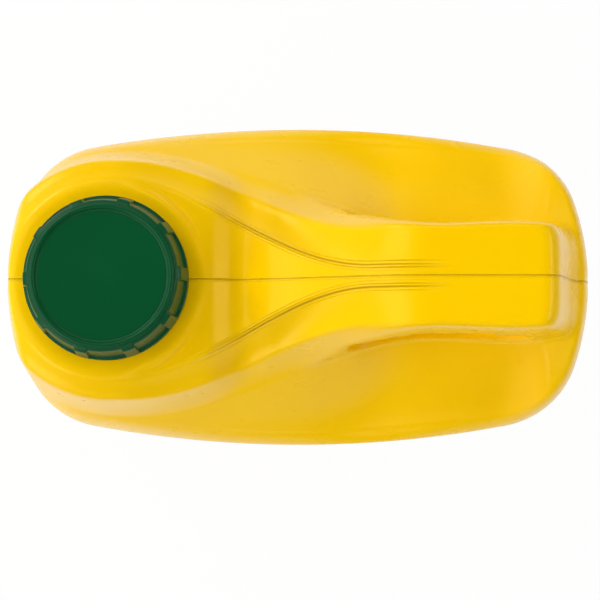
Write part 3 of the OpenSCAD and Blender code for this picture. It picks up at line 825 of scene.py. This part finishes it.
# Tamper band with its bridges
BAND_Z1 = CAP_Z0 - BAND_GAP
BAND_Z0 = BAND_Z1 - BAND_H
bore_r, lip_r = BEAD_D / 2 + 0.3, BEAD_D / 2 - 0.7
band_profile = [
    (bore_r, BAND_Z1), (bore_r, BEAD_Z - 1.4), (lip_r + 0.2, BEAD_Z - 1.7),
    (lip_r, BEAD_Z - 2.1), (lip_r + 0.2, BEAD_Z - 2.5), (bore_r + 0.5, BAND_Z0 + 0.1),
    (bore_r + 0.8, BAND_Z0), (BAND_D / 2 - 0.4, BAND_Z0), (BAND_D / 2, BAND_Z0 + 0.4),
    (BAND_D / 2, BAND_Z1 - 0.35), (BAND_D / 2 - 0.35, BAND_Z1),
]
parts = [lathe(band_profile[::-1], TURN)]
for k in range(BRIDGE_N):
    a = 2 * math.pi * k / BRIDGE_N
    u, v = Vector((math.cos(a), math.sin(a), 0)), Vector((-math.sin(a), math.cos(a), 0))
    corners = []
    for z in (BAND_Z1 - 0.1, BAND_Z1 + BAND_GAP - 0.1):
        shrink = 0.4 if z < BAND_Z1 else 0.25
        for s, t in ((-1, -1), (1, -1), (1, 1), (-1, 1)):
            p = u * (BAND_D / 2 - 0.6 + 0.3 * s) + v * (shrink * t)
            corners.append((NECK_X + p.x, p.y, z))
    parts.append((corners, [(0, 3, 2, 1), (4, 5, 6, 7), (0, 1, 5, 4), (1, 2, 6, 5),
                            (2, 3, 7, 6), (3, 0, 4, 7)]))
band = joined(*parts)
mesh_object("band", band[0], band[1], GREEN, "can", ["tamper_band"], sharp=35)

lz = NECK_H + SEAL_GAP
lr = SKIRT_BORE - 1
liner_profile = [(0.01, lz), (lr - 0.2, lz), (lr, lz + 0.2), (lr, lz + LINER_T - 0.2),
                 (lr - 0.2, lz + LINER_T), (0.01, lz + LINER_T)]
disc = lathe(liner_profile, TURN)
mesh_object("liner_disc", disc[0], disc[1], FOAM, "liner", ["seal_liner"], sharp=35)

# Floor, light and camera
bpy.ops.mesh.primitive_plane_add(size=12, location=(0, 0, 0))
floor = bpy.context.object
floor.name = "floor"

# The floor is matt for the light, and white to the camera and in reflections
paper = bpy.data.materials.new("floor_white")
paper.use_nodes = True
pn, pl = paper.node_tree.nodes, paper.node_tree.links
pn.remove(pn["Principled BSDF"])
matt = pn.new("ShaderNodeBsdfDiffuse")
matt.inputs["Color"].default_value = (0.9, 0.9, 0.9, 1)
white = pn.new("ShaderNodeEmission")
white.inputs["Color"].default_value = (1, 1, 1, 1)
ray = pn.new("ShaderNodeLightPath")
seen = pn.new("ShaderNodeMath")
seen.operation = "MAXIMUM"
pl.new(ray.outputs["Is Camera Ray"], seen.inputs[0])
also = pn.new("ShaderNodeMath")
also.operation = "MAXIMUM"
pl.new(ray.outputs["Is Glossy Ray"], also.inputs[0])
pl.new(ray.outputs["Is Transmission Ray"], also.inputs[1])
pl.new(also.outputs[0], seen.inputs[1])
share = pn.new("ShaderNodeMath")
share.operation = "MULTIPLY"
share.inputs[1].default_value = 0.96
pl.new(seen.outputs[0], share.inputs[0])
blend = pn.new("ShaderNodeMixShader")
pl.new(share.outputs[0], blend.inputs["Fac"])
pl.new(matt.outputs[0], blend.inputs[1])
pl.new(white.outputs[0], blend.inputs[2])
pl.new(blend.outputs[0], pn["Material Output"].inputs["Surface"])
floor.data.materials.append(paper)

# The studio is pale at the horizon and dark overhead, where the lamps hang
world = bpy.data.worlds.new("studio")
bpy.context.scene.world = world
world.use_nodes = True
wn, wl = world.node_tree.nodes, world.node_tree.links
coord = wn.new("ShaderNodeTexCoord")
split = wn.new("ShaderNodeSeparateXYZ")
wl.new(coord.outputs["Generated"], split.inputs[0])
sky = wn.new("ShaderNodeValToRGB")
sky.color_ramp.elements[0].position = 0.0
sky.color_ramp.elements[0].color = (0.85, 0.85, 0.85, 1)
sky.color_ramp.elements[1].position = 0.75
sky.color_ramp.elements[1].color = (0.10, 0.10, 0.10, 1)
middle_sky = sky.color_ramp.elements.new(0.25)
middle_sky.color = (0.6, 0.6, 0.6, 1)
wl.new(split.outputs["Z"], sky.inputs["Fac"])
wl.new(sky.outputs["Color"], wn["Background"].inputs["Color"])
wn["Background"].inputs["Strength"].default_value = 0.3


def softbox(name, azimuth, tilt, far, size, level):
    """A soft lamp seen from the handle at tilt degrees off the vertical; level is its
    brightness, where 1 is white."""
    a, t = math.radians(azimuth), math.radians(tilt)
    aim = Vector((0, 0, 0.25))
    way = Vector((math.cos(a) * math.sin(t), math.sin(a) * math.sin(t), math.cos(t)))
    lamp = bpy.data.lights.new(name, "AREA")
    lamp.shape = "RECTANGLE"
    lamp.size, lamp.size_y = size
    lamp.energy = level * math.pi * size[0] * size[1]
    obj = bpy.data.objects.new(name, lamp)
    obj.location = aim + way * far
    obj.rotation_euler = way.to_track_quat("Z", "Y").to_euler()
    bpy.context.scene.collection.objects.link(obj)


for lamp in (
    ("left_box", 180, 46, 1.5, (1.1, 0.9), 3.0),
    ("left_back", 135, 66, 1.5, (0.6, 0.6), 8.4),
    ("left_front", -135, 66, 1.5, (0.6, 0.6), 6.5),
    ("back_strip", 90, 48, 1.5, (1.3, 0.5), 2.8),
    ("front_strip", -90, 48, 1.5, (1.3, 0.5), 2.3),
    ("right_box", 0, 58, 1.5, (1.0, 0.5), 5.6),
):
    softbox(*lamp)

# The camera looks down on the can, 0.75 m above the handle
camera = bpy.data.cameras.new("camera")
camera.sensor_width = 36
camera.lens = 127.7
eye = bpy.data.objects.new("camera", camera)
eye.location = (0, -0.0389, BODY_H * MM + 0.75)
eye.rotation_euler = (math.radians(2.29), 0, 0)
bpy.context.scene.collection.objects.link(eye)
bpy.context.scene.camera = eye
bpy.context.scene.view_settings.view_transform = "Standard"
